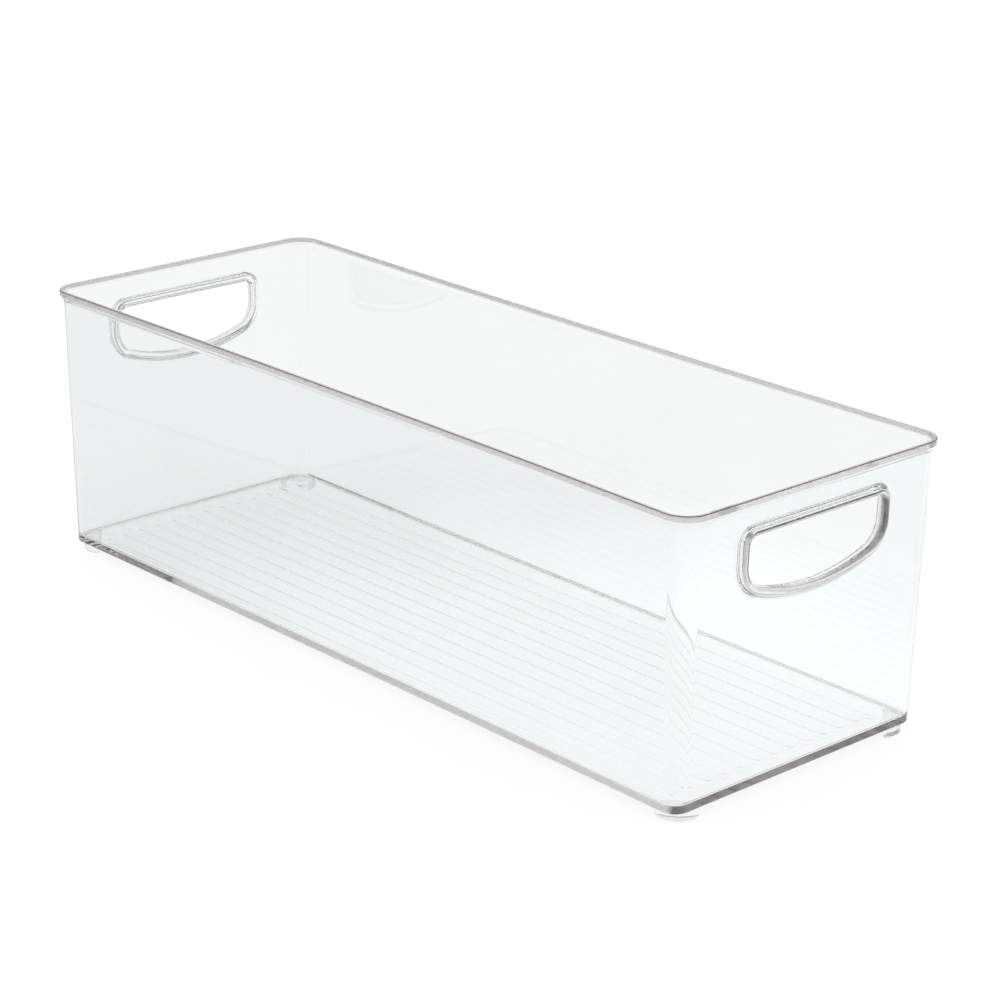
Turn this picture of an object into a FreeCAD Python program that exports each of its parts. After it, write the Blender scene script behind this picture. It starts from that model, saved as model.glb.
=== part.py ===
import FreeCAD, Part
import math
import os
import Sketcher
from FreeCAD import Placement, Rotation, Vector

# Clear fridge bin: one moulded tub with two pull openings, standing on four clear corner pads.
# Frame: +X along the long side, -Y the long front wall, +Z up, origin on the floor below the middle.

os.makedirs("parts", exist_ok=True)
doc = FreeCAD.newDocument("FridgeBin")

# ---------------------------------------------------------------- driving dimensions (mm, degrees)
DIMENSIONS = [
    ("length", 406.4, "over the rim, along X"),
    ("width", 150.0, "over the rim, along Y"),
    ("height", 127.0, "floor to rim top"),
    ("wall", 2.2, "wall thickness"),
    ("draft", 1.4, "mould draft of the four walls, degrees"),
    ("base_corner", 6.8, "plan radius of the base corners"),
    ("floor_plate", 2.8, "floor thickness between the ribs"),
    ("floor_fillet", 1.6, "inside fillet between floor and wall"),
    ("floor_ring", 6.0, "width of the floor strip swept with the walls"),
    ("ring_overlap", 1.5, "how far the floor plate runs into that strip"),
    ("edge_round", 0.9, "outside round under the base edge"),
    ("rim_reach", 4.7, "rim edge beyond the base outline"),
    ("bead_height", 2.7, "square rim bead"),
    ("bead_under", 0.3, "small slope under the bead face, across and up"),
    ("bead_top", 0.4, "round on the bead's outer top edge"),
    ("lip_round", 0.4, "round on the rim's inner top edge"),
    ("lip_lean", 35.0, "lead-in slope inside the rim, degrees from upright"),
    ("lip_drop", 3.5, "height of the lead-in slope"),
    ("lip_heel", 3.0, "round between the lead-in slope and the inner wall"),
    ("cove", 5.0, "cove that flares the wall out to the bead"),
    ("rib_count", 13, "floor ribs"),
    ("rib_pitch", 9.66, "rib spacing"),
    ("rib_top", 7.2, "flat top of a rib"),
    ("rib_side", 1.0, "width of a rib's rounded side"),
    ("rib_height", 0.2, "rib height above the floor"),
    ("rib_length", 378.0, "rib length"),
    ("rib_slope", 2.0, "length of the slope at a rib's ends"),
    ("pull_half", 39.0, "half width of the pull opening"),
    ("pull_top", 111.4, "height of the opening's flat top edge"),
    ("pull_low", 84.4, "height of the lowest point of the opening"),
    ("pull_top_corner", 3.6, "upper corner radius"),
    ("pull_low_corner", 11.0, "lower corner radius"),
    ("pull_arc", 96.0, "radius of the bottom edge"),
    ("lip_width", 3.0, "width of the raised lip round the opening"),
    ("lip_out", 2.2, "lip height outside the wall"),
    ("lip_in", 1.1, "lip height inside the wall"),
    ("lip_edge", 1.4, "edge rounds of the outer lip"),
    ("lip_cove", 3.0, "cove from the outer lip to the wall"),
    ("lip_bevel_in", 0.6, "bevel of the inner lip at the opening"),
    ("lip_flank_in", 1.3, "width of the inner lip's sloping side"),
    ("lip_sink", 0.05, "how far the lip's foot runs into the wall faces"),
    ("foot_height", 4.0, "pad height"),
    ("foot_radius", 9.2, "radius of the half-disc pad"),
    ("foot_flat", 1.3, "flat side, measured outward from the disc centre"),
    ("foot_corner", 1.4, "round where the flat meets the arc"),
    ("foot_bevel", 0.4, "bevel on the pad's bottom edge"),
    ("foot_inset_end", 9.4, "disc centre to the base edge at the ends"),
    ("foot_inset_side", 11.1, "disc centre to the base edge along the long sides"),
]

sheet = doc.addObject("Spreadsheet::Sheet", "dims")
size = {}
for row, (name, value, note) in enumerate(DIMENSIONS, start=1):
    sheet.set("A%d" % row, name)
    sheet.set("B%d" % row, str(value))
    sheet.setAlias("B%d" % row, name)
    sheet.set("C%d" % row, note)
    size[name] = value
doc.recompute()

BASE_LENGTH = "dims.length - 2 * dims.rim_reach"
BASE_WIDTH = "dims.width - 2 * dims.rim_reach"
base_length = size["length"] - 2 * size["rim_reach"]
base_width = size["width"] - 2 * size["rim_reach"]
draft = math.radians(size["draft"])

START, END, CENTRE = 1, 2, 3
ORIGIN = (-1, START)
X_AXIS, Y_AXIS = -1, -2


# ---------------------------------------------------------------- helpers
def origin_plane(body, role):
    """One of the body's own origin planes."""
    return [feature for feature in body.Origin.OriginFeatures if feature.Role == role][0]


def new_sketch(body, name, plane, offset=Placement()):
    """A sketch on one of the body's origin planes."""
    sketch = body.newObject("Sketcher::SketchObject", name)
    sketch.AttachmentSupport = [(origin_plane(body, plane), "")]
    sketch.MapMode = "FlatFace"
    sketch.AttachmentOffset = offset
    return sketch


def line(sketch, start, end):
    return sketch.addGeometry(Part.LineSegment(Vector(*start, 0), Vector(*end, 0)))


def arc(sketch, centre, radius, first, last):
    """An arc from angle first to angle last (degrees), always counter-clockwise."""
    circle = Part.Circle(Vector(*centre, 0), Vector(0, 0, 1), radius)
    return sketch.addGeometry(Part.ArcOfCircle(circle, math.radians(first), math.radians(last)))


def fix(sketch, kind, *where):
    sketch.addConstraint(Sketcher.Constraint(kind, *where))


def drive(sketch, name, expression, kind, *where_and_value):
    """A dimension of the sketch that follows the spreadsheet."""
    index = sketch.addConstraint(Sketcher.Constraint(kind, *where_and_value))
    sketch.renameConstraint(index, name)
    sketch.setExpression("Constraints." + name, expression)


def rounded_rectangle(sketch, length, width, corner, size_names):
    """A centred rounded rectangle whose front side is split at its middle."""
    x, y = length / 2, width / 2
    front_right = line(sketch, (0, -y), (x - corner, -y))
    corner_fr = arc(sketch, (x - corner, -y + corner), corner, 270, 360)
    right = line(sketch, (x, -y + corner), (x, y - corner))
    corner_br = arc(sketch, (x - corner, y - corner), corner, 0, 90)
    back = line(sketch, (x - corner, y), (-x + corner, y))
    corner_bl = arc(sketch, (-x + corner, y - corner), corner, 90, 180)
    left = line(sketch, (-x, y - corner), (-x, -y + corner))
    corner_fl = arc(sketch, (-x + corner, -y + corner), corner, 180, 270)
    front_left = line(sketch, (-x + corner, -y), (0, -y))
    chain = [front_right, corner_fr, right, corner_br, back, corner_bl, left, corner_fl, front_left]
    for first, second in zip(chain, chain[1:]):
        fix(sketch, "Tangent", first, END, second, START)
    fix(sketch, "Coincident", front_left, END, front_right, START)
    for side in (front_right, front_left, back):
        fix(sketch, "Horizontal", side)
    for side in (right, left):
        fix(sketch, "Vertical", side)
    for other in (corner_br, corner_bl, corner_fl):
        fix(sketch, "Equal", corner_fr, other)
    fix(sketch, "PointOnObject", front_right, START, Y_AXIS)
    fix(sketch, "Symmetric", corner_fr, CENTRE, corner_bl, CENTRE, *ORIGIN)
    drive(sketch, "over_length", size_names[0], "DistanceX", left, START, right, START, length)
    drive(sketch, "over_width", size_names[1], "DistanceY", front_right, START, back, START, width)
    drive(sketch, "corner", size_names[2], "Radius", corner_fr, corner)


def pick_edges(shape, wanted):
    """Names of the edges for which wanted(edge) is true."""
    return ["Edge%d" % number for number, edge in enumerate(shape.Edges, start=1) if wanted(edge)]


# ---------------------------------------------------------------- tub: walls and rim in one section
def wall_section(body):
    """The long front wall cut across: floor strip, drafted wall, cove, square bead
    and the lead-in slope inside it."""
    sketch = new_sketch(body, "WallSection", "YZ_Plane")
    half = base_width / 2
    low = size["foot_height"]
    top = size["height"]
    slope = math.tan(draft)
    edge, fillet, cove = size["edge_round"], size["floor_fillet"], size["cove"]
    under, bead = size["bead_under"], size["bead_top"]
    lip, drop, heel = size["lip_round"], size["lip_drop"], size["lip_heel"]
    lean = math.radians(size["lip_lean"])
    face = -size["width"] / 2
    bead_low = top - size["bead_height"]
    floor = low + size["floor_plate"]
    strip = -half + size["floor_ring"]
    wall_across = size["wall"] / math.cos(draft)
    tilt = math.degrees(draft)

    def outer(z):
        return -half - slope * (z - low)

    def inner(z):
        return outer(z) + wall_across

    edge_y = -half + edge * (1 - math.sin(draft)) / math.cos(draft)
    gap = (outer(bead_low) - (face + under)) * math.cos(draft)
    rise = math.sqrt(cove ** 2 - (cove - gap) ** 2)
    turn = math.degrees(math.asin(rise / cove))
    cove_foot_z = bead_low - gap * math.sin(draft) - rise * math.cos(draft)
    cove_centre = (outer(cove_foot_z) - cove * math.cos(draft), cove_foot_z - cove * math.sin(draft))
    heel_y, heel_z = inner(top - drop), top - drop
    lip_y = heel_y - (lip + math.sin(lean) * (drop - lip)) / math.cos(lean)
    middle, reach = (lean + draft) / 2, heel / math.cos((lean - draft) / 2)
    heel_centre = (heel_y - reach * math.cos(middle), heel_z - reach * math.sin(middle))
    fillet_y = inner(floor + fillet * (1 + math.sin(draft))) + fillet * math.cos(draft)

    underside = line(sketch, (strip, low), (edge_y, low))
    edge_arc = arc(sketch, (edge_y, low + edge), edge, 180 + tilt, 270)
    edge_top = low + edge * (1 - math.sin(draft))
    outer_wall = line(sketch, (outer(edge_top), edge_top), (outer(cove_foot_z), cove_foot_z))
    cove_arc = arc(sketch, cove_centre, cove, tilt, tilt + turn)
    under_slope = line(sketch, (face + under, bead_low), (face, bead_low + under))
    bead_face = line(sketch, (face, bead_low + under), (face, top - bead))
    bead_arc = arc(sketch, (face + bead, top - bead), bead, 90, 180)
    rim_top = line(sketch, (face + bead, top), (lip_y, top))
    lip_arc = arc(sketch, (lip_y, top - lip), lip, size["lip_lean"], 90)
    slope_low = (heel_centre[0] + heel * math.cos(lean), heel_centre[1] + heel * math.sin(lean))
    slope_high = (lip_y + lip * math.cos(lean), top - lip + lip * math.sin(lean))
    lead_in = line(sketch, slope_low, slope_high)
    heel_arc = arc(sketch, heel_centre, heel, tilt, size["lip_lean"])
    heel_low = heel_centre[1] + heel * math.sin(draft)
    fillet_high = floor + fillet * (1 + math.sin(draft))
    inner_wall = line(sketch, (inner(heel_low), heel_low), (inner(fillet_high), fillet_high))
    fillet_arc = arc(sketch, (fillet_y, floor + fillet), fillet, 180 + tilt, 270)
    floor_top = line(sketch, (fillet_y, floor), (strip, floor))
    strip_end = line(sketch, (strip, floor), (strip, low))
    outline_point = sketch.addGeometry(Part.Point(Vector(-half, low, 0)), True)
    heel_point = sketch.addGeometry(Part.Point(Vector(heel_y, heel_z, 0)), True)

    fix(sketch, "Tangent", underside, END, edge_arc, END)
    fix(sketch, "Tangent", edge_arc, START, outer_wall, START)
    fix(sketch, "Tangent", outer_wall, END, cove_arc, START)
    fix(sketch, "Coincident", cove_arc, END, under_slope, START)
    fix(sketch, "Coincident", under_slope, END, bead_face, START)
    fix(sketch, "Tangent", bead_face, END, bead_arc, END)
    fix(sketch, "Tangent", bead_arc, START, rim_top, START)
    fix(sketch, "Tangent", rim_top, END, lip_arc, END)
    fix(sketch, "Tangent", lip_arc, START, lead_in, END)
    fix(sketch, "Tangent", lead_in, START, heel_arc, END)
    fix(sketch, "Tangent", heel_arc, START, inner_wall, START)
    fix(sketch, "Tangent", inner_wall, END, fillet_arc, START)
    fix(sketch, "Tangent", fillet_arc, END, floor_top, START)
    fix(sketch, "Coincident", floor_top, END, strip_end, START)
    fix(sketch, "Coincident", strip_end, END, underside, START)
    for flat in (underside, rim_top, floor_top):
        fix(sketch, "Horizontal", flat)
    for upright in (bead_face, strip_end):
        fix(sketch, "Vertical", upright)
    fix(sketch, "Parallel", inner_wall, outer_wall)
    fix(sketch, "PointOnObject", outline_point, START, outer_wall)
    fix(sketch, "PointOnObject", heel_point, START, inner_wall)
    fix(sketch, "PointOnObject", heel_point, START, lead_in)

    radii = [("edge_round", edge_arc, edge), ("cove", cove_arc, cove), ("bead_top", bead_arc, bead),
             ("lip_round", lip_arc, lip), ("lip_heel", heel_arc, heel), ("floor_fillet", fillet_arc, fillet)]
    for name, element, value in radii:
        drive(sketch, name, "dims." + name, "Radius", element, value)
    drive(sketch, "under_across", "dims.bead_under", "DistanceX", under_slope, END, under_slope, START, under)
    drive(sketch, "under_up", "dims.bead_under", "DistanceY", under_slope, START, under_slope, END, under)
    drive(sketch, "wall", "dims.wall", "Distance", outer_wall, START, inner_wall, size["wall"])
    drive(sketch, "draft", "90 deg + dims.draft * 1 deg", "Angle", outer_wall, math.pi / 2 + draft)
    drive(sketch, "lip_lean", "90 deg + dims.lip_lean * 1 deg", "Angle", lead_in, math.pi / 2 + lean)
    drive(sketch, "lip_drop", "dims.lip_drop", "DistanceY", heel_point, START, rim_top, START, drop)
    drive(sketch, "outline_y", "(%s) / 2" % BASE_WIDTH, "DistanceX", outline_point, START, *ORIGIN, half)
    drive(sketch, "outline_z", "dims.foot_height", "DistanceY", *ORIGIN, outline_point, START, low)
    drive(sketch, "base_level", "dims.foot_height", "DistanceY", *ORIGIN, underside, START, low)
    drive(sketch, "floor", "dims.floor_plate", "DistanceY", strip_end, END, strip_end, START,
          size["floor_plate"])
    drive(sketch, "strip", "(%s) / 2 - dims.floor_ring" % BASE_WIDTH, "DistanceX", strip_end, END, *ORIGIN,
          half - size["floor_ring"])
    drive(sketch, "rim_level", "dims.height", "DistanceY", *ORIGIN, rim_top, START, top)
    drive(sketch, "rim_face", "dims.width / 2", "DistanceX", bead_face, START, *ORIGIN, size["width"] / 2)
    drive(sketch, "bead_level", "dims.height - dims.bead_height", "DistanceY",
          *ORIGIN, cove_arc, END, bead_low)
    return sketch


def add_walls(body):
    """Sweep the wall section round the base outline."""
    base_level = Placement(Vector(0, 0, size["foot_height"]), Rotation())
    path = new_sketch(body, "BaseOutline", "XY_Plane", base_level)
    path.setExpression("AttachmentOffset.Base.z", "dims.foot_height")
    rounded_rectangle(path, base_length, base_width, size["base_corner"],
                      (BASE_LENGTH, BASE_WIDTH, "dims.base_corner"))
    section = wall_section(body)
    walls = body.newObject("PartDesign::AdditivePipe", "Walls")
    walls.Profile = section
    walls.Spine = path
    walls.Mode = "Frenet"
    doc.recompute()
    for sketch in (path, section):
        sketch.Visibility = False
    return walls


def add_floor(body):
    """The floor plate inside the swept strip."""
    inset = size["floor_ring"] - size["ring_overlap"]
    inset_name = "2 * (dims.floor_ring - dims.ring_overlap)"
    base_level = Placement(Vector(0, 0, size["foot_height"]), Rotation())
    outline = new_sketch(body, "FloorOutline", "XY_Plane", base_level)
    outline.setExpression("AttachmentOffset.Base.z", "dims.foot_height")
    rounded_rectangle(outline, base_length - 2 * inset, base_width - 2 * inset, size["base_corner"] - inset,
                      (BASE_LENGTH + " - " + inset_name, BASE_WIDTH + " - " + inset_name,
                       "dims.base_corner - dims.floor_ring + dims.ring_overlap"))
    floor = body.newObject("PartDesign::Pad", "Floor")
    floor.Profile = outline
    floor.setExpression("Length", "dims.floor_plate")
    doc.recompute()
    return floor


def add_ribs(body):
    """Low ribs along the floor: one rounded section, padded both ways and repeated across the width."""
    top, side, height = size["rib_top"], size["rib_side"], size["rib_height"]
    floor = size["foot_height"] + size["floor_plate"]
    floor_name = "dims.foot_height + dims.floor_plate"
    spread = (size["rib_count"] - 1) * size["rib_pitch"]
    radius = (side ** 2 + height ** 2) / (2 * height)
    lean = math.degrees(math.asin(side / radius))
    section = new_sketch(body, "RibSection", "YZ_Plane", Placement(Vector(-spread / 2, floor, 0), Rotation()))
    section.setExpression("AttachmentOffset.Base.x", "-(dims.rib_count - 1) * dims.rib_pitch / 2")
    section.setExpression("AttachmentOffset.Base.y", floor_name)
    foot = line(section, (-top / 2 - side, 0), (top / 2 + side, 0))
    right = arc(section, (top / 2, height - radius), radius, 90 - lean, 90)
    crest = line(section, (top / 2, height), (-top / 2, height))
    left = arc(section, (-top / 2, height - radius), radius, 90, 90 + lean)
    fix(section, "Coincident", foot, END, right, START)
    fix(section, "Tangent", right, END, crest, START)
    fix(section, "Tangent", crest, END, left, START)
    fix(section, "Coincident", left, END, foot, START)
    fix(section, "PointOnObject", foot, START, X_AXIS)
    fix(section, "PointOnObject", foot, END, X_AXIS)
    fix(section, "Symmetric", crest, START, crest, END, Y_AXIS)
    fix(section, "Equal", left, right)
    drive(section, "top", "dims.rib_top", "DistanceX", crest, END, crest, START, top)
    drive(section, "height", "dims.rib_height", "DistanceY", foot, END, crest, START, height)
    drive(section, "foot", "dims.rib_top + 2 * dims.rib_side", "DistanceX",
          foot, START, foot, END, top + 2 * side)
    rib = body.newObject("PartDesign::Pad", "Rib")
    rib.Profile = section
    rib.SideType = "Symmetric"
    rib.setExpression("Length", "dims.rib_length")
    doc.recompute()
    row = body.newObject("PartDesign::LinearPattern", "RibRow")
    row.Originals = [rib]
    row.Direction = (section, ["H_Axis"])
    row.setExpression("Length", "(dims.rib_count - 1) * dims.rib_pitch")
    row.setExpression("Occurrences", "dims.rib_count")
    body.Tip = row
    doc.recompute()
    slope_rib_ends(body)


def slope_rib_ends(body):
    """The ribs run out in a slope at both ends: a wedge cut across all of them."""
    end, slope, height = size["rib_length"] / 2, size["rib_slope"], size["rib_height"]
    wedge = new_sketch(body, "RibEndWedge", "XZ_Plane",
                       Placement(Vector(end, size["foot_height"] + size["floor_plate"], 0), Rotation()))
    wedge.setExpression("AttachmentOffset.Base.x", "dims.rib_length / 2")
    wedge.setExpression("AttachmentOffset.Base.y", "dims.foot_height + dims.floor_plate")
    upright = line(wedge, (0, 0), (0, 2 * height))
    level = line(wedge, (0, 2 * height), (-2 * slope, 2 * height))
    ramp = line(wedge, (-2 * slope, 2 * height), (0, 0))
    fix(wedge, "Coincident", upright, END, level, START)
    fix(wedge, "Coincident", level, END, ramp, START)
    fix(wedge, "Coincident", ramp, END, upright, START)
    fix(wedge, "Coincident", upright, START, *ORIGIN)
    fix(wedge, "Vertical", upright)
    fix(wedge, "Horizontal", level)
    drive(wedge, "rise", "2 * dims.rib_height", "DistanceY", upright, START, upright, END, 2 * height)
    drive(wedge, "run", "2 * dims.rib_slope", "DistanceX", level, END, level, START, 2 * slope)
    ends = body.newObject("PartDesign::Pocket", "RibEnd")
    ends.Profile = wedge
    ends.SideType = "Symmetric"
    ends.setExpression("Length", "dims.rib_count * dims.rib_pitch")
    doc.recompute()
    both = body.newObject("PartDesign::Mirrored", "RibEnds")
    both.Originals = [ends]
    both.MirrorPlane = (origin_plane(body, "YZ_Plane"), [""])
    body.Tip = both
    doc.recompute()


# ---------------------------------------------------------------- tub: pull openings
def pull_outline(body, place):
    """The D-shaped opening: flat top edge, rounded corners, one large arc below."""
    sketch = new_sketch(body, "PullOutline", "YZ_Plane", place)
    half, top, low = size["pull_half"], size["pull_top"], size["pull_low"]
    upper, lower, big = size["pull_top_corner"], size["pull_low_corner"], size["pull_arc"]
    corner_y = half - lower
    corner_z = low + big - math.sqrt((big - lower) ** 2 - corner_y ** 2)
    split = math.degrees(math.atan2(low + big - corner_z, corner_y))

    top_left = line(sketch, (0, top), (-half + upper, top))
    upper_left = arc(sketch, (-half + upper, top - upper), upper, 90, 180)
    left = line(sketch, (-half, top - upper), (-half, corner_z))
    lower_left = arc(sketch, (-corner_y, corner_z), lower, 180, 180 + split)
    bottom = arc(sketch, (0, low + big), big, 180 + split, 360 - split)
    lower_right = arc(sketch, (corner_y, corner_z), lower, 360 - split, 360)
    right = line(sketch, (half, corner_z), (half, top - upper))
    upper_right = arc(sketch, (half - upper, top - upper), upper, 0, 90)
    top_right = line(sketch, (half - upper, top), (0, top))
    chain = [top_left, upper_left, left, lower_left, bottom, lower_right, right, upper_right, top_right]
    for first, second in zip(chain, chain[1:]):
        fix(sketch, "Tangent", first, END, second, START)
    fix(sketch, "Coincident", top_right, END, top_left, START)
    fix(sketch, "PointOnObject", top_left, START, Y_AXIS)
    fix(sketch, "PointOnObject", bottom, CENTRE, Y_AXIS)
    fix(sketch, "Horizontal", top_left)
    fix(sketch, "Horizontal", top_right)
    fix(sketch, "Vertical", left)
    fix(sketch, "Vertical", right)
    fix(sketch, "Equal", upper_left, upper_right)
    fix(sketch, "Equal", lower_left, lower_right)
    drive(sketch, "top_edge", "dims.pull_top", "DistanceY", *ORIGIN, top_left, START, top)
    drive(sketch, "half_left", "dims.pull_half", "DistanceX", left, START, *ORIGIN, half)
    drive(sketch, "half_right", "dims.pull_half", "DistanceX", *ORIGIN, right, START, half)
    drive(sketch, "upper_corner", "dims.pull_top_corner", "Radius", upper_left, upper)
    drive(sketch, "lower_corner", "dims.pull_low_corner", "Radius", lower_left, lower)
    drive(sketch, "bottom_arc", "dims.pull_arc", "Radius", bottom, big)
    drive(sketch, "bottom_centre", "dims.pull_low + dims.pull_arc", "DistanceY",
          *ORIGIN, bottom, CENTRE, low + big)
    return sketch


def lip_section(body, place):
    """The raised lip cut above the opening: x = 0 is the wall's outer face, x grows out of the bin."""
    sketch = new_sketch(body, "LipSection", "XZ_Plane", place)
    edge, cove, bevel = size["lip_edge"], size["lip_cove"], size["lip_bevel_in"]
    sink = size["lip_sink"]
    mouth_z = size["pull_top"]
    crest_x, inner_x = size["lip_out"], -size["wall"] - size["lip_in"]
    crest_low, crest_high = mouth_z + edge, mouth_z + size["lip_width"] - edge
    inner_low, inner_high = mouth_z + bevel, mouth_z + size["lip_width"] - bevel
    rise = cove - sink - (crest_x - edge)
    cove_z = crest_high + math.sqrt((edge + cove) ** 2 - rise ** 2)
    lean = math.degrees(math.acos(rise / (edge + cove)))
    inner_foot = (-size["wall"] + sink, inner_high + size["lip_flank_in"])

    mouth = line(sketch, (inner_x + bevel, mouth_z), (crest_x - edge, mouth_z))
    mouth_edge = arc(sketch, (crest_x - edge, crest_low), edge, 270, 360)
    crest = line(sketch, (crest_x, crest_low), (crest_x, crest_high))
    shoulder = arc(sketch, (crest_x - edge, crest_high), edge, 0, lean)
    hollow = arc(sketch, (cove - sink, cove_z), cove, 180, 180 + lean)
    closing = line(sketch, (-sink, cove_z), inner_foot)
    flank = line(sketch, inner_foot, (inner_x, inner_high))
    inner_crest = line(sketch, (inner_x, inner_high), (inner_x, inner_low))
    inner_bevel = line(sketch, (inner_x, inner_low), (inner_x + bevel, mouth_z))

    fix(sketch, "Tangent", mouth, END, mouth_edge, START)
    fix(sketch, "Tangent", mouth_edge, END, crest, START)
    fix(sketch, "Tangent", crest, END, shoulder, START)
    fix(sketch, "Tangent", shoulder, END, hollow, END)
    fix(sketch, "Coincident", hollow, START, closing, START)
    fix(sketch, "Coincident", closing, END, flank, START)
    fix(sketch, "Coincident", flank, END, inner_crest, START)
    fix(sketch, "Coincident", inner_crest, END, inner_bevel, START)
    fix(sketch, "Coincident", inner_bevel, END, mouth, START)
    fix(sketch, "Horizontal", mouth)
    fix(sketch, "Vertical", crest)
    fix(sketch, "Vertical", inner_crest)
    fix(sketch, "Horizontal", hollow, CENTRE, hollow, START)
    fix(sketch, "Equal", mouth_edge, shoulder)
    drive(sketch, "edge", "dims.lip_edge", "Radius", mouth_edge, edge)
    drive(sketch, "cove", "dims.lip_cove", "Radius", hollow, cove)
    drive(sketch, "bevel_across", "dims.lip_bevel_in", "DistanceX",
          inner_bevel, START, inner_bevel, END, bevel)
    drive(sketch, "bevel_up", "dims.lip_bevel_in", "DistanceY",
          inner_bevel, END, inner_bevel, START, bevel)
    drive(sketch, "crest", "dims.lip_width - 2 * dims.lip_edge", "DistanceY", crest, START, crest, END,
          crest_high - crest_low)
    drive(sketch, "inner_crest", "dims.lip_width - 2 * dims.lip_bevel_in", "DistanceY",
          inner_crest, END, inner_crest, START, inner_high - inner_low)
    drive(sketch, "flank", "dims.lip_flank_in", "DistanceY", flank, END, flank, START, size["lip_flank_in"])
    drive(sketch, "mouth", "dims.pull_top", "DistanceY", *ORIGIN, mouth, START, mouth_z)
    drive(sketch, "reach_out", "dims.lip_out", "DistanceX", *ORIGIN, crest, START, crest_x)
    drive(sketch, "reach_in", "dims.wall + dims.lip_in", "DistanceX", inner_crest, START, *ORIGIN, -inner_x)
    drive(sketch, "sink_out", "dims.lip_sink", "DistanceX", closing, START, *ORIGIN, sink)
    drive(sketch, "sink_in", "dims.wall - dims.lip_sink", "DistanceX", flank, START, *ORIGIN, -inner_foot[0])
    return sketch


def add_pulls(body):
    """The raised lip swept round each opening, and the opening cut through the end wall."""
    wall_x = base_length / 2 - math.tan(draft) * size["foot_height"]
    wall_x_name = "(%s) / 2 - tan(dims.draft * 1 deg) * dims.foot_height" % BASE_LENGTH
    on_wall = Placement(Vector(0, 0, wall_x), Rotation(Vector(1, 0, 0), size["draft"]))
    outline = pull_outline(body, on_wall)
    outline.setExpression("AttachmentOffset.Base.z", wall_x_name)
    outline.setExpression("AttachmentOffset.Rotation.Angle", "dims.draft * 1 deg")
    across_wall = Placement(Vector(wall_x, 0, 0), Rotation(Vector(0, 0, -1), size["draft"]))
    section = lip_section(body, across_wall)
    section.setExpression("AttachmentOffset.Base.x", wall_x_name)
    section.setExpression("AttachmentOffset.Rotation.Angle", "dims.draft * 1 deg")
    lip = body.newObject("PartDesign::AdditivePipe", "PullLip")
    lip.Profile = section
    lip.Spine = outline
    lip.Mode = "Frenet"
    doc.recompute()
    opening = body.newObject("PartDesign::Pocket", "PullOpening")
    opening.Profile = outline
    opening.SideType = "Symmetric"
    opening.setExpression("Length", "2 * (dims.wall + dims.lip_in + dims.lip_out)")
    doc.recompute()
    both = body.newObject("PartDesign::Mirrored", "BothPulls")
    both.Originals = [lip, opening]
    both.MirrorPlane = (origin_plane(body, "YZ_Plane"), [""])
    body.Tip = both
    doc.recompute()
    return both


def make_tub():
    body = doc.addObject("PartDesign::Body", "Tub")
    body.Label = "tub"
    add_walls(body)
    add_floor(body)
    add_ribs(body)
    add_pulls(body)
    return body


# ---------------------------------------------------------------- corner pads
def make_foot(label, along, across, turn):
    """A half-disc pad; its flat side looks at the middle of the bin, along/across say which corner."""
    body = doc.addObject("PartDesign::Body", "".join(word.title() for word in label.split("_")))
    body.Label = label
    radius, flat, corner = size["foot_radius"], size["foot_flat"], size["foot_corner"]
    sketch = new_sketch(body, "PadOutline", "XY_Plane")
    centre_y = math.sqrt((radius - corner) ** 2 - (flat + corner) ** 2)
    bearing = math.degrees(math.atan2(centre_y, flat + corner))
    rim = arc(sketch, (0, 0), radius, -bearing, bearing)
    upper = arc(sketch, (flat + corner, centre_y), corner, bearing, 180)
    side = line(sketch, (flat, centre_y), (flat, -centre_y))
    lower = arc(sketch, (flat + corner, -centre_y), corner, 180, 360 - bearing)
    for first, second in ((rim, upper), (upper, side), (side, lower), (lower, rim)):
        fix(sketch, "Tangent", first, END, second, START)
    fix(sketch, "Coincident", rim, CENTRE, *ORIGIN)
    fix(sketch, "Vertical", side)
    fix(sketch, "Equal", upper, lower)
    drive(sketch, "rim", "dims.foot_radius", "Radius", rim, radius)
    drive(sketch, "corner", "dims.foot_corner", "Radius", upper, corner)
    drive(sketch, "flat", "dims.foot_flat", "DistanceX", *ORIGIN, side, START, flat)
    pad = body.newObject("PartDesign::Pad", "Pad")
    pad.Profile = sketch
    pad.setExpression("Length", "dims.foot_height")
    doc.recompute()
    bevel = body.newObject("PartDesign::Chamfer", "BottomBevel")
    bevel.Base = (pad, pick_edges(pad.Shape, lambda edge: edge.BoundBox.ZMax < 1e-4))
    bevel.setExpression("Size", "dims.foot_bevel")
    end_inset = size["foot_inset_end"]
    side_inset = size["foot_inset_side"]
    body.Placement = Placement(Vector(along * (base_length / 2 - end_inset),
                                      across * (base_width / 2 - side_inset), 0),
                               Rotation(Vector(0, 0, 1), turn))
    body.setExpression("Placement.Base.x", "%d * ((%s) / 2 - dims.foot_inset_end)" % (along, BASE_LENGTH))
    body.setExpression("Placement.Base.y", "%d * ((%s) / 2 - dims.foot_inset_side)" % (across, BASE_WIDTH))
    doc.recompute()
    return body


CORNERS = [
    ("foot_front_right", 1, -1, -45),
    ("foot_back_right", 1, 1, 45),
    ("foot_back_left", -1, 1, 135),
    ("foot_front_left", -1, -1, 225),
]

bodies = [make_tub()] + [make_foot(*corner) for corner in CORNERS]
doc.recompute()

# ---------------------------------------------------------------- checks and export
for item in doc.Objects:
    if "Invalid" in item.State or "Error" in item.State:
        raise RuntimeError("%s is not built: %s" % (item.Label, item.State))
for body in bodies:
    shape = body.Shape
    if shape.isNull() or not shape.isValid() or len(shape.Solids) != 1:
        raise RuntimeError("%s has no single valid solid" % body.Label)
    shape.exportStep("parts/%s.step" % body.Label)
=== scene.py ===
import math

import bpy
from mathutils import Matrix, Vector
from mathutils.geometry import tessellate_polygon


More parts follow.
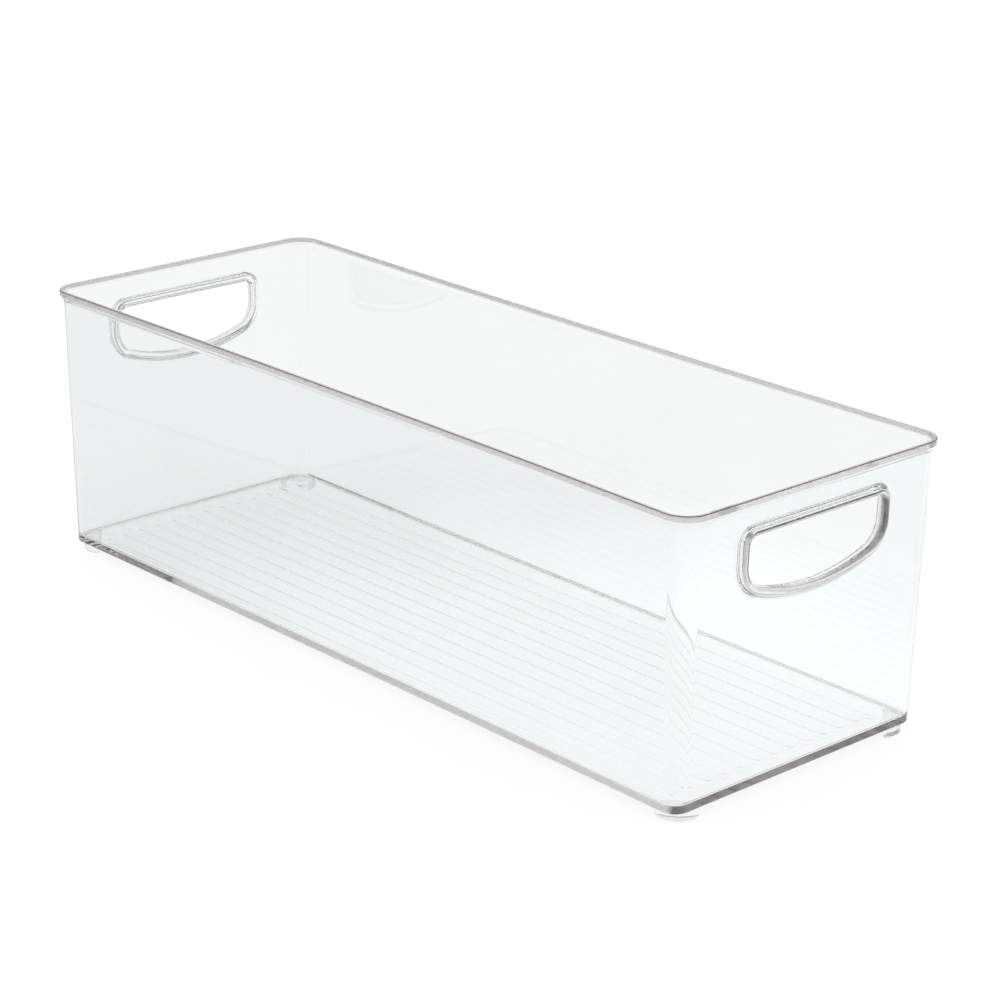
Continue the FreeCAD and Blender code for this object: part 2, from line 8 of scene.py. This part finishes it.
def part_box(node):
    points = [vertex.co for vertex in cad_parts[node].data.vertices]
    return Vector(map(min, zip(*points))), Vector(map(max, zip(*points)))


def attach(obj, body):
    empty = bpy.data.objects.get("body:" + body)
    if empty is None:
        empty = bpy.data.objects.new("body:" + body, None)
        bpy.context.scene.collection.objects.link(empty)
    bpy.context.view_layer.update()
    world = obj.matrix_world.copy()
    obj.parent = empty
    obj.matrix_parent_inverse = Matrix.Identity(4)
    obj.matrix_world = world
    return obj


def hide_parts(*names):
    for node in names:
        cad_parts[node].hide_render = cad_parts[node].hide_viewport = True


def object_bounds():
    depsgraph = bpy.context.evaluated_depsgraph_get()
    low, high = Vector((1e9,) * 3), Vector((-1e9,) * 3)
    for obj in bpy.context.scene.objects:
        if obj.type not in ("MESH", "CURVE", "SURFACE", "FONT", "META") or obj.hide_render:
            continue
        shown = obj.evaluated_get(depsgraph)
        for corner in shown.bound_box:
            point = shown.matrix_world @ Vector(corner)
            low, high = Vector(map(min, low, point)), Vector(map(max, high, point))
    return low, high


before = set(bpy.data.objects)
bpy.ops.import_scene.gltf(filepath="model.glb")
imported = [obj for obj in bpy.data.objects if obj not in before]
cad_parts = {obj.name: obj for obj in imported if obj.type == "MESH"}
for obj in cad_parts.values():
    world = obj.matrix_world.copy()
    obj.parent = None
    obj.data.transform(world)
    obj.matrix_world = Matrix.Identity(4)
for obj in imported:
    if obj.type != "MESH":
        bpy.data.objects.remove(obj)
CAD_BOX = [list(corner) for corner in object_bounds()]

# A clear fridge bin: one moulded tub on four clear pads. Lengths are in millimetres, down to the materials.
MM = 0.001
LOW, HIGH = [[value / MM for value in corner] for corner in CAD_BOX]
LIPS_PAST_RIM = 0.163
LENGTH, WIDTH, TOP = HIGH[0] - LOW[0] - 2 * LIPS_PAST_RIM, HIGH[1] - LOW[1], HIGH[2]
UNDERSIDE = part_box("tub")[0].z / MM

WALL = 2.2
DRAFT = math.radians(1.4)
RIM_REACH = 4.7
BASE_X, BASE_Y = LENGTH / 2 - RIM_REACH, WIDTH / 2 - RIM_REACH
BASE_CORNER = 6.8
FLOOR = UNDERSIDE + 2.8

# How much painted shade a point of the surface gets. The material turns it into a grey, dull, less clear
# finish and a dark line: painted shade that stands in for what refraction does in the real rim and lips.
NO_PAINTED_SHADE, PAINTED_GREY, PAINTED_DARK_LINE = 0.0, 1.0, 2.0

# ---------------------------------------------------------------- surfaces with exact normals


class Surface:
    """A closed surface in millimetres. Its vertices carry the true form's normals and how much painted shade
    they get.
    """

    def __init__(self):
        self.points, self.normals, self.rubs, self.faces = [], [], [], []

    def add(self, point, normal, rub):
        point, normal = bowed(Vector(point), Vector(normal).normalized())
        self.points.append(point)
        self.normals.append(normal)
        self.rubs.append(rub)
        return len(self.points) - 1

    def sweep(self, columns, rows, place, shade_paint=lambda column, row: NO_PAINTED_SHADE):
        """A band of quads: every row of the section at every column of the closed outline."""
        grid = [[self.add(*place(column, row), shade_paint(column, row)) for column in columns] for row in rows]
        count = len(columns)
        for lower, upper in zip(grid, grid[1:]):
            for here in range(count):
                after = (here + 1) % count
                self.faces.append((lower[here], lower[after], upper[after], upper[here]))
        return grid

    def fill(self, loops, flat):
        """Triangles inside the first loop and outside the others, in the plane that flat() maps to."""
        order = [index for loop in loops for index in loop]
        outlines = [[Vector((*flat(self.points[index]), 0.0)) for index in loop] for loop in loops]
        for triangle in tessellate_polygon(outlines):
            self.faces.append(tuple(order[corner] for corner in triangle))

    def drop(self, corners):
        """Takes out the one quad that has these corners."""
        wanted = set(corners)
        self.faces = [face for face in self.faces if set(face) != wanted]

    def make(self, name, material):
        mesh = bpy.data.meshes.new(name)
        faces = []
        for face in self.faces:
            a, b, c = (self.points[index] for index in face[:3])
            across = (b - a).cross(self.points[face[-1]] - b) if len(face) > 3 else (b - a).cross(c - a)
            facing = sum((self.normals[index] for index in face), Vector())
            faces.append(face if across.dot(facing) > 0 else tuple(reversed(face)))
        mesh.from_pydata([point * MM for point in self.points], [], faces)
        mesh.validate()
        mesh.polygons.foreach_set("use_smooth", [True] * len(mesh.polygons))
        mesh.normals_split_custom_set_from_vertices(self.normals)
        # How much painted shade each vertex gets, read by the material.
        mesh.attributes.new("rub", "FLOAT", "POINT").data.foreach_set("value", self.rubs)
        mesh.materials.append(material)
        piece = bpy.data.objects.new(name, mesh)
        bpy.context.scene.collection.objects.link(piece)
        return piece


def turn(centre, radius, start, end, steps, side=1):
    """Points of an arc with their normals: side 1 bulges out, side -1 is hollow. Angles in degrees."""
    run = []
    for step in range(steps + 1):
        angle = math.radians(start + (end - start) * step / steps)
        way = (math.cos(angle), math.sin(angle))
        run.append((centre[0] + radius * way[0], centre[1] + radius * way[1], side * way[0], side * way[1]))
    return run


def rounded_outline(half_x, half_y, corner, steps):
    """Columns round a rectangle with round corners, counter-clockwise from the right side."""
    columns = []
    straight = half_x - corner
    for quarter, (x, y) in enumerate(((1, 1), (-1, 1), (-1, -1), (1, -1))):
        centre = (x * straight, y * (half_y - corner))
        columns += turn(centre, corner, 90 * quarter, 90 * quarter + 90, steps)
        if quarter in (0, 2):
            for step in range(1, LONG_STEPS):
                columns.append((x * straight * (1 - 2 * step / LONG_STEPS), y * half_y, 0, y))
    return columns


def bowed(point, normal):
    """The long walls draw inwards halfway along as the moulding cools, more at the rim than at the base."""
    reach = LENGTH / 2
    along = 1 - (point.x / reach) ** 2
    depth = BOW_BASE + (BOW_RIM - BOW_BASE) * point.z / TOP
    scale = 1 - depth * along / (WIDTH / 2)
    lean_x = 2 * point.x / reach ** 2 * depth * point.y / (WIDTH / 2)
    lean_z = -(BOW_RIM - BOW_BASE) / TOP * along * point.y / (WIDTH / 2)
    across = normal.y / scale
    turned = Vector((normal.x - across * lean_x, across, normal.z - across * lean_z))
    return Vector((point.x, point.y * scale, point.z)), turned.normalized()


def on_outline(column, row):
    """A section row (outward, height, and its normal) placed at an outline column."""
    x, y, out_x, out_y = column
    out, height, normal_out, normal_up = row
    return ((x + out * out_x, y + out * out_y, height), (normal_out * out_x, normal_out * out_y, normal_up))


# ---------------------------------------------------------------- tub
EDGE_ROUND = 0.9
FLOOR_FILLET = 1.6
BEAD_HEIGHT, BEAD_UNDER, BEAD_TOP, BEAD_KNUCKLE = 2.7, 0.3, 0.4, 0.35
COVE = 5.0
LIP_ROUND, LIP_LEAN, LIP_DROP, LIP_HEEL = 0.4, 35.0, 3.5, 3.0
LINE_TOP, LINE_SIDE, BEAD_CLEAR = 0.1, 0.98, 0.1
CORNER_STEPS, ARC_STEPS, LONG_STEPS = 24, 10, 30
BOW_RIM, BOW_BASE = 2.0, 1.0


def wall_rows():
    """The wall's section from the base edge up the outside, over the rim and down to the floor."""
    tilt = math.degrees(DRAFT)
    cosine, sine, slope = math.cos(DRAFT), math.sin(DRAFT), math.tan(DRAFT)

    def outer(height):
        return slope * (height - UNDERSIDE)

    def inner(height):
        return outer(height) - WALL / cosine

    edge_out = -EDGE_ROUND * (1 - sine) / cosine
    rows = turn((edge_out, UNDERSIDE + EDGE_ROUND), EDGE_ROUND, -90, -tilt, ARC_STEPS)

    bead_low = TOP - BEAD_HEIGHT
    gap = (RIM_REACH - BEAD_UNDER - outer(bead_low)) * cosine
    rise = math.sqrt(COVE ** 2 - (COVE - gap) ** 2)
    sweep = math.degrees(math.asin(rise / COVE))
    cove_low = bead_low - gap * sine - rise * cosine
    cove_centre = (outer(cove_low) + COVE * cosine, cove_low - COVE * sine)
    rows += turn(cove_centre, COVE, 180 - tilt, 180 - tilt - sweep, ARC_STEPS, side=-1)

    knuckle_up = BEAD_KNUCKLE * math.tan(math.radians(22.5))
    rows += turn((RIM_REACH - BEAD_KNUCKLE, bead_low + BEAD_UNDER + knuckle_up), BEAD_KNUCKLE, -45, 0, 5)
    rows += turn((RIM_REACH - BEAD_TOP, TOP - BEAD_TOP), BEAD_TOP, 0, 90, ARC_STEPS)

    lean = math.radians(LIP_LEAN)
    heel = (inner(TOP - LIP_DROP), TOP - LIP_DROP)
    lip_out = heel[0] + (LIP_ROUND + math.sin(lean) * (LIP_DROP - LIP_ROUND)) / math.cos(lean)
    rows += turn((lip_out, TOP - LIP_ROUND), LIP_ROUND, 90, 180 - LIP_LEAN, ARC_STEPS)
    middle, half = math.pi - (lean + DRAFT) / 2, (lean - DRAFT) / 2
    reach = LIP_HEEL / math.cos(half)
    heel_centre = (heel[0] - reach * math.cos(middle), heel[1] - reach * math.sin(middle))
    rows += turn(heel_centre, LIP_HEEL, 180 - LIP_LEAN, 180 - tilt, ARC_STEPS)

    fillet_high = FLOOR + FLOOR_FILLET * (1 - sine)
    fillet_out = inner(fillet_high) - FLOOR_FILLET * cosine
    rows += turn((fillet_out, FLOOR + FLOOR_FILLET), FLOOR_FILLET, -tilt, -90, ARC_STEPS, side=-1)
    return rows


def rim_painted_shade(column, row):
    """Painted grey shade over the whole bead, and a painted dark line round its outer top edge."""
    _, height, normal_out, normal_up = row
    if LINE_TOP < normal_out < LINE_SIDE and normal_up > 0:
        return PAINTED_DARK_LINE
    return PAINTED_GREY if height > TOP - BEAD_HEIGHT + BEAD_CLEAR else NO_PAINTED_SHADE


RIB_COUNT, RIB_PITCH = 13, 9.66
RIB_TOP, RIB_SIDE, RIB_HEIGHT = 3.4, 3.1, 0.2
RIB_LENGTH, RIB_CORNER = 378.0, 2.0


def add_ribs(tub):
    """Low ribs with soft S-shaped sides. Returns the outline of each on the floor."""
    half_x, half_y = RIB_LENGTH / 2 - RIB_SIDE, RIB_TOP / 2
    lean = 2 * math.degrees(math.atan2(RIB_HEIGHT, RIB_SIDE))
    radius = RIB_SIDE / (2 * math.sin(math.radians(lean)))
    rows = turn((0, FLOOR + RIB_HEIGHT - radius), radius, 90, 90 - lean, 5)
    rows += turn((RIB_SIDE, FLOOR + radius), radius, 270 - lean, 270, 5, side=-1)[1:]
    feet = []
    for number in range(RIB_COUNT):
        middle = (number - (RIB_COUNT - 1) / 2) * RIB_PITCH
        columns = [(x, y + middle, out_x, out_y)
                   for x, y, out_x, out_y in rounded_outline(half_x, half_y, RIB_CORNER, 6)]
        grid = tub.sweep(columns, rows, on_outline)
        tub.fill([grid[0]], lambda point: (point.x, point.y))
        feet.append(grid[-1])
    return feet


PULL_HALF, PULL_TOP, PULL_LOW = 39.0, 111.4, 84.4
PULL_TOP_CORNER, PULL_LOW_CORNER, PULL_ARC = 3.6, 11.0, 96.0
LIP_WIDTH, LIP_OUT, LIP_IN = 3.0, 2.2, 1.1
LIP_EDGE, LIP_COVE = 1.4, 3.0
LIP_EDGE_IN, LIP_COVE_IN = 0.7, 1.2
# Amounts of painted shade on the lips: grey in the bore and roll, dark at the bore's ends and along the
# crest.
BORE_SHADE, BORE_BELOW, BORE_ENDS, BORE_ENDS_FROM = 0.55, 0.15, 1.8, 0.4
CREST_DEPTH, CREST_SHADE, CREST_BELOW = 0.15, 1.7, 0.3
ROLL_BELOW, ROLL_ENDS = 0.6, 0.7
FINE_LINE, FINE_LINE_SHADE, BORE_DEPTH, FAR_BORE_SHADE = 0.25, 0.7, 0.05, 0.45


def pull_columns():
    """The D-shaped opening in the plane of the end wall: flat top, round corners, one long arc below."""
    corner_y = PULL_HALF - PULL_LOW_CORNER
    arc_z = PULL_LOW + PULL_ARC
    corner_z = arc_z - math.sqrt((PULL_ARC - PULL_LOW_CORNER) ** 2 - corner_y ** 2)
    split = math.degrees(math.atan2(arc_z - corner_z, corner_y))
    upper_y, upper_z = PULL_HALF - PULL_TOP_CORNER, PULL_TOP - PULL_TOP_CORNER
    columns = turn((upper_y, upper_z), PULL_TOP_CORNER, 0, 90, 14)
    columns += turn((-upper_y, upper_z), PULL_TOP_CORNER, 90, 180, 14)
    columns += turn((-corner_y, corner_z), PULL_LOW_CORNER, 180, 180 + split, 14)
    columns += turn((0, arc_z), PULL_ARC, 180 + split, 360 - split, 24)[1:]
    columns += turn((corner_y, corner_z), PULL_LOW_CORNER, 360 - split, 360, 14)[1:]
    return columns


def pull_rows():
    """The lip's section: the first number leads out of the opening, the second is the height on the wall."""
    rise = LIP_COVE - (LIP_OUT - LIP_EDGE)
    reach = math.sqrt((LIP_EDGE + LIP_COVE) ** 2 - rise ** 2)
    lean = math.degrees(math.atan2(rise, reach))
    shoulder = LIP_WIDTH - LIP_EDGE
    rows = turn((shoulder + reach, LIP_COVE), LIP_COVE, 270, 180 + lean, 12, side=-1)
    rows += turn((shoulder, LIP_OUT - LIP_EDGE), LIP_EDGE, lean, 90, 10)[1:]
    rows += turn((LIP_EDGE, LIP_OUT - LIP_EDGE), LIP_EDGE, 90, 180, 12)
    crest = -WALL - LIP_IN
    rows += turn((LIP_EDGE_IN, crest + LIP_EDGE_IN), LIP_EDGE_IN, 180, 270, 8)
    rise = LIP_COVE_IN - (LIP_IN - LIP_EDGE_IN)
    reach = math.sqrt((LIP_EDGE_IN + LIP_COVE_IN) ** 2 - rise ** 2)
    lean = math.degrees(math.atan2(rise, reach))
    shoulder = LIP_WIDTH - LIP_EDGE_IN
    rows += turn((shoulder, crest + LIP_EDGE_IN), LIP_EDGE_IN, 270, 360 - lean, 8)
    rows += turn((shoulder + reach, -WALL - LIP_COVE_IN), LIP_COVE_IN, 180 - lean, 90, 8, side=-1)[1:]
    return rows


def right_lip_painted_shade(column, row):
    """Painted shade on the right lip as the photo shows it: grey inside and below, darkest at ends and crest.
    """
    out, height = row[0], row[1]
    above, below, sideways = max(0.0, column[3]), max(0.0, -column[3]), abs(column[2])
    if out > LIP_WIDTH or height < -WALL:
        return NO_PAINTED_SHADE
    if out <= LIP_EDGE:
        return BORE_SHADE + BORE_BELOW * below + BORE_ENDS * max(0.0, sideways - BORE_ENDS_FROM)
    if height > LIP_OUT - CREST_DEPTH:
        return CREST_SHADE * (above + CREST_BELOW * below)
    return ROLL_BELOW * below + ROLL_ENDS * sideways


def left_lip_painted_shade(column, row):
    """Painted shade on the left lip as the photo shows it: fine lines where it meets the wall, and a greyish
    bore.
    """
    if abs(row[0] - LIP_WIDTH) < FINE_LINE:
        return FINE_LINE_SHADE
    return FAR_BORE_SHADE if row[0] < BORE_DEPTH else NO_PAINTED_SHADE


def add_pull(tub, side, outer_wall, inner_wall):
    """One opening with its raised lip, joined to the flat faces of the end wall on that side."""
    cosine, sine = math.cos(DRAFT), math.sin(DRAFT)
    wall_x = BASE_X - math.tan(DRAFT) * UNDERSIDE

    def in_wall(column, row):
        across, up, normal_across, normal_up = column
        out, height, way_out, way_height = row
        across, up = across + out * normal_across, up + out * normal_up
        normal = (way_out * normal_across, way_out * normal_up, way_height)
        point = (side * (wall_x + up * sine + height * cosine), across, up * cosine - height * sine)
        return point, (side * (normal[1] * sine + normal[2] * cosine), normal[0],
                       normal[1] * cosine - normal[2] * sine)

    lip_painted_shade = right_lip_painted_shade if side > 0 else left_lip_painted_shade
    grid = tub.sweep(pull_columns(), pull_rows(), in_wall, lip_painted_shade)
    for corners, ring in ((outer_wall, grid[0]), (inner_wall, grid[-1])):
        tub.drop(corners)
        tub.fill([corners, ring], lambda point: (point.y, point.z))


def make_tub(material):
    tub = Surface()
    columns = rounded_outline(BASE_X, BASE_Y, BASE_CORNER, CORNER_STEPS)
    rows = wall_rows()
    grid = tub.sweep(columns, rows, on_outline, rim_painted_shade)
    tub.faces.append(tuple(grid[0]))
    ribs = add_ribs(tub)
    tub.fill([grid[-1]] + ribs, lambda point: (point.x, point.y))
    outer_row = ARC_STEPS
    inner_row = len(rows) - ARC_STEPS - 2
    half = 2 * (CORNER_STEPS + 1) + LONG_STEPS - 1
    for side, last, first in ((1, 2 * half - 1, 0), (-1, half - 1, half)):
        patches = [[grid[row][last], grid[row][first], grid[row + 1][first], grid[row + 1][last]]
                   for row in (outer_row, inner_row)]
        add_pull(tub, side, *patches)
    return tub.make("tub_moulding", material)


# ---------------------------------------------------------------- pads
FOOT_RADIUS, FOOT_FLAT, FOOT_CORNER, FOOT_ROUND = 9.2, 1.3, 1.4, 0.5
FOOT_SEAT, FOOT_TOP_ROUND = 0.03, 0.15
FOOT_IN_X, FOOT_IN_Y = 9.4, 11.1


def make_foot(node, material):
    """A half-disc pad on the corner where the CAD pad stands, its flat side towards the bin's middle."""
    low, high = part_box(node)
    along = 1 if low.x > 0 else -1
    across = 1 if low.y > 0 else -1
    bearing = math.atan2(across, along)
    centre_x = along * (BASE_X - FOOT_IN_X)
    centre_y = across * (BASE_Y - FOOT_IN_Y)
    side = math.sqrt((FOOT_RADIUS - FOOT_CORNER) ** 2 - (FOOT_FLAT + FOOT_CORNER) ** 2)
    opening = math.degrees(math.atan2(side, FOOT_FLAT + FOOT_CORNER))
    outline = turn((0, 0), FOOT_RADIUS, -opening, opening, 36)
    outline += turn((FOOT_FLAT + FOOT_CORNER, side), FOOT_CORNER, opening, 180, 10)[1:]
    outline += turn((FOOT_FLAT + FOOT_CORNER, -side), FOOT_CORNER, 180, 360 - opening, 10)[:-1]
    cosine, sine = math.cos(bearing), math.sin(bearing)
    columns = [(centre_x + x * cosine - y * sine, centre_y + x * sine + y * cosine,
                nx * cosine - ny * sine, nx * sine + ny * cosine) for x, y, nx, ny in outline]
    top = high.z / MM - FOOT_SEAT
    rows = turn((-FOOT_ROUND, FOOT_ROUND), FOOT_ROUND, -90, 0, 6)
    rows += turn((-FOOT_TOP_ROUND, top - FOOT_TOP_ROUND), FOOT_TOP_ROUND, 0, 90, 4)
    foot = Surface()
    grid = foot.sweep(columns, rows, on_outline)
    foot.faces.append(tuple(grid[0]))
    foot.faces.append(tuple(grid[-1]))
    return foot.make(node + "_pad", material)


# ---------------------------------------------------------------- materials
# Sizes of noise are patches to the metre; the bump's depth is in metres.
# Painted shade: a grey and a near-black colour stand in for what refraction does in the rim and lips.
CLEARNESS, PAINTED_SHADE_COLOUR, PAINTED_GREY_ROUGHNESS = 0.57, (0.81, 0.78, 0.785), 0.15
PAINTED_LINE_COLOUR, LINE_CLEARNESS_LOSS = (0.1, 0.09, 0.095), -0.25
SCATTER_SCALE, SCATTER = 180.0, 0.08
CLOUD_SCALE, CLOUD_SHADE = 14.0, 0.985
HAZE_SCALE, HAZE = 45.0, 0.04
RIPPLE_SCALE, SCUFF_SCALE, SCUFF_SHARE, BUMP_DEPTH = 20.0, 1500.0, 0.02, 0.00003
REFRACTION = 1.57
INSIDE_COLOUR = (0.905, 0.895, 0.898, 1)


def noise(tree, place, scale, detail):
    """Cloudy variation from 0 to 1 in the object's own space."""
    texture = tree.nodes.new("ShaderNodeTexNoise")
    texture.inputs["Scale"].default_value = scale
    texture.inputs["Detail"].default_value = detail
    tree.links.new(place, texture.inputs["Vector"])
    return texture.outputs["Fac"]


def spread(tree, value, start, end, low, high):
    """Turns a value from start to end into one from low to high."""
    remap = tree.nodes.new("ShaderNodeMapRange")
    for name, number in (("From Min", start), ("From Max", end), ("To Min", low), ("To Max", high)):
        remap.inputs[name].default_value = number
    tree.links.new(value, remap.inputs["Value"])
    return remap.outputs["Result"]


def math_node(tree, operation, first, second):
    """Joins two values by the operation; each is a float or a socket."""
    node = tree.nodes.new("ShaderNodeMath")
    node.operation = operation
    for socket, value in zip(node.inputs, (first, second)):
        if isinstance(value, float):
            socket.default_value = value
        else:
            tree.links.new(value, socket)
    return node.outputs[0]


def colour_mix(tree, amount, first, second):
    """Blends two colours, each a tuple or a socket, by an amount that is a float or a socket."""
    node = tree.nodes.new("ShaderNodeMix")
    node.data_type = "RGBA"
    for socket, value in ((node.inputs[0], amount), (node.inputs[6], first), (node.inputs[7], second)):
        if isinstance(value, tuple):
            socket.default_value = (*value, 1)
        elif isinstance(value, float):
            socket.default_value = value
        else:
            tree.links.new(value, socket)
    return node.outputs[2]


def clear_plastic(name, tint, satin, density):
    """Clear moulded plastic: polished, a little wavy, and greyer and duller where shade is painted on it."""
    material = bpy.data.materials.new(name)
    material.use_nodes = True
    tree = material.node_tree
    shader, output = tree.nodes["Principled BSDF"], tree.nodes["Material Output"]
    place = tree.nodes.new("ShaderNodeTexCoord").outputs["Object"]
    rub = tree.nodes.new("ShaderNodeAttribute")
    rub.attribute_name = "rub"
    scatter = spread(tree, noise(tree, place, SCATTER_SCALE, 3.0), 0.3, 0.7, -SCATTER, SCATTER)
    shade_paint = math_node(tree, "ADD", rub.outputs["Fac"], scatter)
    # Painted grey shade: grey and less clear where the mask runs from 0.3 to 0.7.
    shade_weight = spread(tree, shade_paint, 0.3, 0.7, 0.0, 1.0)
    # Painted dark line where the mask runs from 1.2 to 1.7.
    line = spread(tree, shade_paint, 1.2, 1.7, 0.0, 1.0)

    cloud = spread(tree, noise(tree, place, CLOUD_SCALE, 2.0), 0.3, 0.7, 0.0, 1.0)
    shade = tuple(channel * CLOUD_SHADE for channel in tint)
    body = colour_mix(tree, cloud, tint, shade)
    body = colour_mix(tree, shade_weight, body, PAINTED_SHADE_COLOUR)
    tree.links.new(colour_mix(tree, line, body, PAINTED_LINE_COLOUR), shader.inputs["Base Color"])
    clear = spread(tree, shade_weight, 0.0, 1.0, 1.0, CLEARNESS)
    loss = spread(tree, line, 0.0, 1.0, 0.0, LINE_CLEARNESS_LOSS)
    tree.links.new(math_node(tree, "ADD", clear, loss), shader.inputs["Transmission Weight"])

    haze = spread(tree, noise(tree, place, HAZE_SCALE, 4.0), 0.5, 0.75, satin, satin + HAZE)
    dull = spread(tree, shade_weight, 0.0, 1.0, 0.0, PAINTED_GREY_ROUGHNESS)
    tree.links.new(math_node(tree, "ADD", haze, dull), shader.inputs["Roughness"])

    ripple = noise(tree, place, RIPPLE_SCALE, 1.0)
    scuff = math_node(tree, "MULTIPLY", noise(tree, place, SCUFF_SCALE, 2.0), SCUFF_SHARE)
    bump = tree.nodes.new("ShaderNodeBump")
    bump.inputs["Strength"].default_value = 1.0
    bump.inputs["Distance"].default_value = BUMP_DEPTH
    tree.links.new(math_node(tree, "ADD", ripple, scuff), bump.inputs["Height"])
    tree.links.new(bump.outputs["Normal"], shader.inputs["Normal"])

    shader.inputs["IOR"].default_value = REFRACTION
    inside = tree.nodes.new("ShaderNodeVolumeAbsorption")
    inside.inputs["Color"].default_value = INSIDE_COLOUR
    inside.inputs["Density"].default_value = density
    tree.links.new(inside.outputs[0], output.inputs["Volume"])
    return material


# ---------------------------------------------------------------- studio
# Strengths of floor and world, where 1 is white. Distances are in metres.
FLOOR_SEEN, FLOOR_LIGHTING, FLOOR_COLOUR = 0.86, 0.6, (0.2, 0.2, 0.2, 1)
POOL_CENTRE, POOL_INSIDE, POOL_OUTSIDE = (0.07, 0, 0), 0.1, 0.25
POOL_BRIGHT, POOL_DIM = 0.955, 0.79
MIRROR_REACH, MIRROR_FRONT_LEFT, MIRROR_BACK_RIGHT = 0.3, 0.25, 0.95
FLOOR_SIZE, FLOOR_DROP = 12.0, 0.00003
WORLD_SEEN, WORLD_LIGHTING = 1.0, 0.9
WORLD_BY_HEIGHT = ((0.0, 0.9), (0.02, 0.25), (0.17, 0.25), (0.21, 0.97),
                   (0.60, 1.0), (0.75, 0.25), (1.0, 0.25))
BOUNCES = 128


def ray_mix(nodes, links, camera, transmission, glossy, other):
    """A strength for each kind of ray: seen straight, through the plastic, mirrored in it, and lighting."""
    path = nodes.new("ShaderNodeLightPath")
    strength = None
    picks = (("Is Glossy Ray", glossy), ("Is Transmission Ray", transmission), ("Is Camera Ray", camera))
    for output, value in picks:
        pick = nodes.new("ShaderNodeMix")
        links.new(path.outputs[output], pick.inputs[0])
        if strength is None:
            pick.inputs[2].default_value = other
        else:
            links.new(strength, pick.inputs[2])
        if isinstance(value, float):
            pick.inputs[3].default_value = value
        else:
            links.new(value, pick.inputs[3])
        strength = pick.outputs[0]
    return strength


def floor_light(tree):
    """The floor as the plastic shows it: a pool of light seen through, and a brighter back right mirrored."""
    place = tree.nodes.new("ShaderNodeTexCoord").outputs["Object"]
    distance = tree.nodes.new("ShaderNodeVectorMath")
    distance.operation = "DISTANCE"
    distance.inputs[1].default_value = POOL_CENTRE
    tree.links.new(place, distance.inputs[0])
    through = spread(tree, distance.outputs["Value"], POOL_INSIDE, POOL_OUTSIDE, POOL_BRIGHT, POOL_DIM)
    split = tree.nodes.new("ShaderNodeSeparateXYZ")
    tree.links.new(place, split.inputs[0])
    across = math_node(tree, "ADD", split.outputs["X"], split.outputs["Y"])
    mirrored = spread(tree, across, -MIRROR_REACH, MIRROR_REACH, MIRROR_FRONT_LEFT, MIRROR_BACK_RIGHT)
    return through, mirrored


def make_floor():
    bpy.ops.mesh.primitive_plane_add(size=FLOOR_SIZE, location=(0, 0, -FLOOR_DROP))
    floor = bpy.context.object
    floor.name = "studio_floor"
    material = bpy.data.materials.new("studio_floor")
    material.use_nodes = True
    tree = material.node_tree
    shader = tree.nodes["Principled BSDF"]
    shader.inputs["Base Color"].default_value = FLOOR_COLOUR
    shader.inputs["Roughness"].default_value = 1.0
    shader.inputs["Specular IOR Level"].default_value = 0.0
    shader.inputs["Emission Color"].default_value = (1, 1, 1, 1)
    through, mirrored = floor_light(tree)
    strength = ray_mix(tree.nodes, tree.links, FLOOR_SEEN, through, mirrored, FLOOR_LIGHTING)
    tree.links.new(strength, shader.inputs["Emission Strength"])
    floor.data.materials.append(material)


def make_world():
    """White to the camera; the plastic sees bands of light and shade by height."""
    world = bpy.data.worlds.new("studio")
    bpy.context.scene.world = world
    world.use_nodes = True
    nodes, links = world.node_tree.nodes, world.node_tree.links
    place = nodes.new("ShaderNodeTexCoord")
    split = nodes.new("ShaderNodeSeparateXYZ")
    links.new(place.outputs["Generated"], split.inputs[0])
    ramp = nodes.new("ShaderNodeValToRGB")
    ramp.color_ramp.interpolation = "LINEAR"
    while len(ramp.color_ramp.elements) < len(WORLD_BY_HEIGHT):
        ramp.color_ramp.elements.new(1.0)
    for element, (height, level) in zip(ramp.color_ramp.elements, WORLD_BY_HEIGHT):
        element.position = height
        element.color = (level, level, level, 1)
    links.new(split.outputs["Z"], ramp.inputs[0])
    shade = nodes["Background"]
    shade.inputs["Color"].default_value = (1, 1, 1, 1)
    strength = ray_mix(nodes, links, WORLD_SEEN, ramp.outputs[0], ramp.outputs[0], WORLD_LIGHTING)
    links.new(strength, shade.inputs["Strength"])


def make_camera():
    """The photo's viewing angle."""
    azimuth, elevation, roll = math.radians(47.193), math.radians(19.833), math.radians(0.854)
    distance, target = 1264.44, Vector((22.37, 0, 67.94))
    back = Vector((math.sin(azimuth) * math.cos(elevation), -math.cos(azimuth) * math.cos(elevation),
                   math.sin(elevation)))
    right = Vector((math.cos(azimuth), math.sin(azimuth), 0))
    up = back.cross(right)
    tilted_right = math.cos(roll) * right + math.sin(roll) * up
    tilted_up = math.cos(roll) * up - math.sin(roll) * right
    turned = Matrix((tilted_right, tilted_up, back)).transposed().to_4x4()
    camera = bpy.data.objects.new("camera", bpy.data.cameras.new("camera"))
    camera.data.lens = 105.989
    camera.data.sensor_width = 36.0
    camera.data.clip_end = 50.0
    camera.matrix_world = Matrix.Translation((target + back * distance) * MM) @ turned
    bpy.context.scene.collection.objects.link(camera)
    bpy.context.scene.camera = camera


scene = bpy.context.scene
scene.view_settings.view_transform = "Standard"
scene.cycles.max_bounces = BOUNCES
scene.cycles.transmission_bounces = BOUNCES
scene.cycles.glossy_bounces = BOUNCES

make_camera()
make_world()
make_floor()

tub_plastic = clear_plastic("clear_plastic", (0.965, 0.98, 0.98), 0.0, 14.0)
pad_plastic = clear_plastic("clear_pad", (0.96, 0.965, 0.965), 0.08, 14.0)
tub = make_tub(tub_plastic)
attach(tub, "root")
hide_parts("tub")
for node in ("foot_front_right", "foot_back_right", "foot_back_left", "foot_front_left"):
    foot = make_foot(node, pad_plastic)
    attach(foot, "root")
    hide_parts(node)
